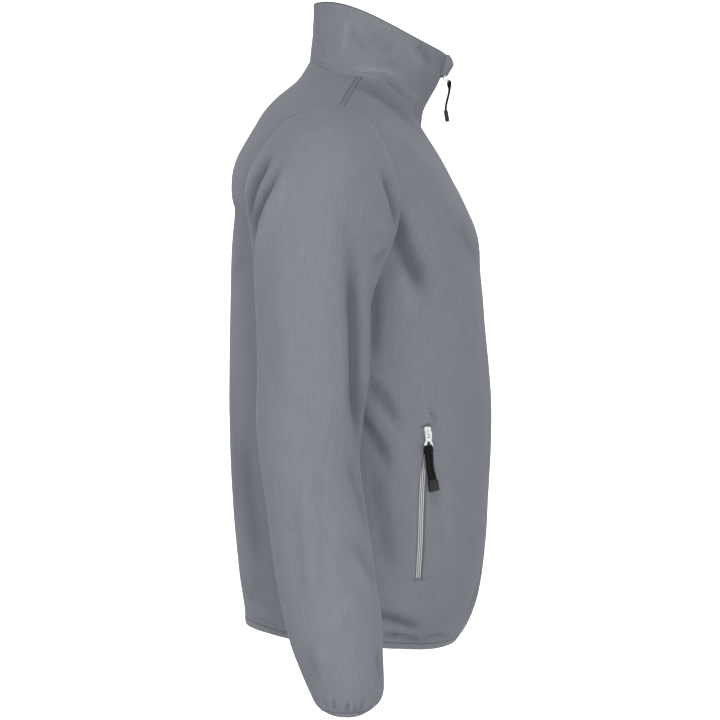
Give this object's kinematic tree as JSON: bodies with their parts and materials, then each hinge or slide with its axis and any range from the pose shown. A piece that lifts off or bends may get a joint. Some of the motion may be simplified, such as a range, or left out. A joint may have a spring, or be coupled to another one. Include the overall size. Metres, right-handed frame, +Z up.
{
  "type": "fleece zip jacket",
  "caption": "Worn fleece jacket with a tall stand collar, full-length front zip under a chin guard, set-in sleeves, zipped side pockets and elastic-bound hem and cuffs.",
  "frame": {"origin": "middle of the neck opening, at the height where the shoulder seams meet the collar, where the wearer holds the jacket up", "axes": "+Z up, the jacket faces -Y, the wearer's left is +X"},
  "size_m": [0.636, 0.313, 0.8061],
  "materials": {
    "fleece": "brushed knit fleece, matt blue-grey",
    "binding": "elastic knit binding, darker grey",
    "zip_tape": "silver-grey reversed coil on woven tape",
    "zip_metal": "pale silver lacquer on die-cast zinc",
    "pull_cord": "black braid",
    "pull_end": "dark grey moulded rubbery plastic"
  },
  "bodies": {
    "jacket": {"back": "fleece", "front_right": "fleece", "front_left": "fleece", "sleeve_right": "fleece", "sleeve_left": "fleece", "collar": "fleece", "chin_guard": "fleece", "hem_binding": "binding", "cuff_binding_right": "binding", "cuff_binding_left": "binding", "front_zip": "zip_tape", "pocket_zip_right": "zip_tape", "pocket_zip_left": "zip_tape", "neck_slider": "zip_metal", "pocket_slider_right": "zip_metal", "pocket_slider_left": "zip_metal"},
    "neck_pull": {"neck_pull_tab": "zip_metal", "neck_pull_cord": "pull_cord", "neck_pull_end": "pull_end"},
    "pocket_pull_right": {"pocket_pull_right_tab": "zip_metal", "pocket_pull_right_cord": "pull_cord", "pocket_pull_right_end": "pull_end"},
    "pocket_pull_left": {"pocket_pull_left_tab": "zip_metal", "pocket_pull_left_cord": "pull_cord", "pocket_pull_left_end": "pull_end"}
  },
  "joints": [
    {"name": "neck_pull_swing", "type": "hinge", "parent": "jacket", "child": "neck_pull", "pos_m": [0, -0.1045, -0.00149], "axis": [-1, 0, 0], "range_deg": [-25, 125]},
    {"name": "pocket_pull_right_swing", "type": "hinge", "parent": "jacket", "child": "pocket_pull_right", "pos_m": [-0.17519, -0.07688, -0.41908], "axis": [-0.4589, 0.8885, 0], "range_deg": [-1, 170]},
    {"name": "pocket_pull_left_swing", "type": "hinge", "parent": "jacket", "child": "pocket_pull_left", "pos_m": [0.17519, -0.07688, -0.41908], "axis": [-0.4589, -0.8885, 0], "range_deg": [-1, 170]}
  ]
}
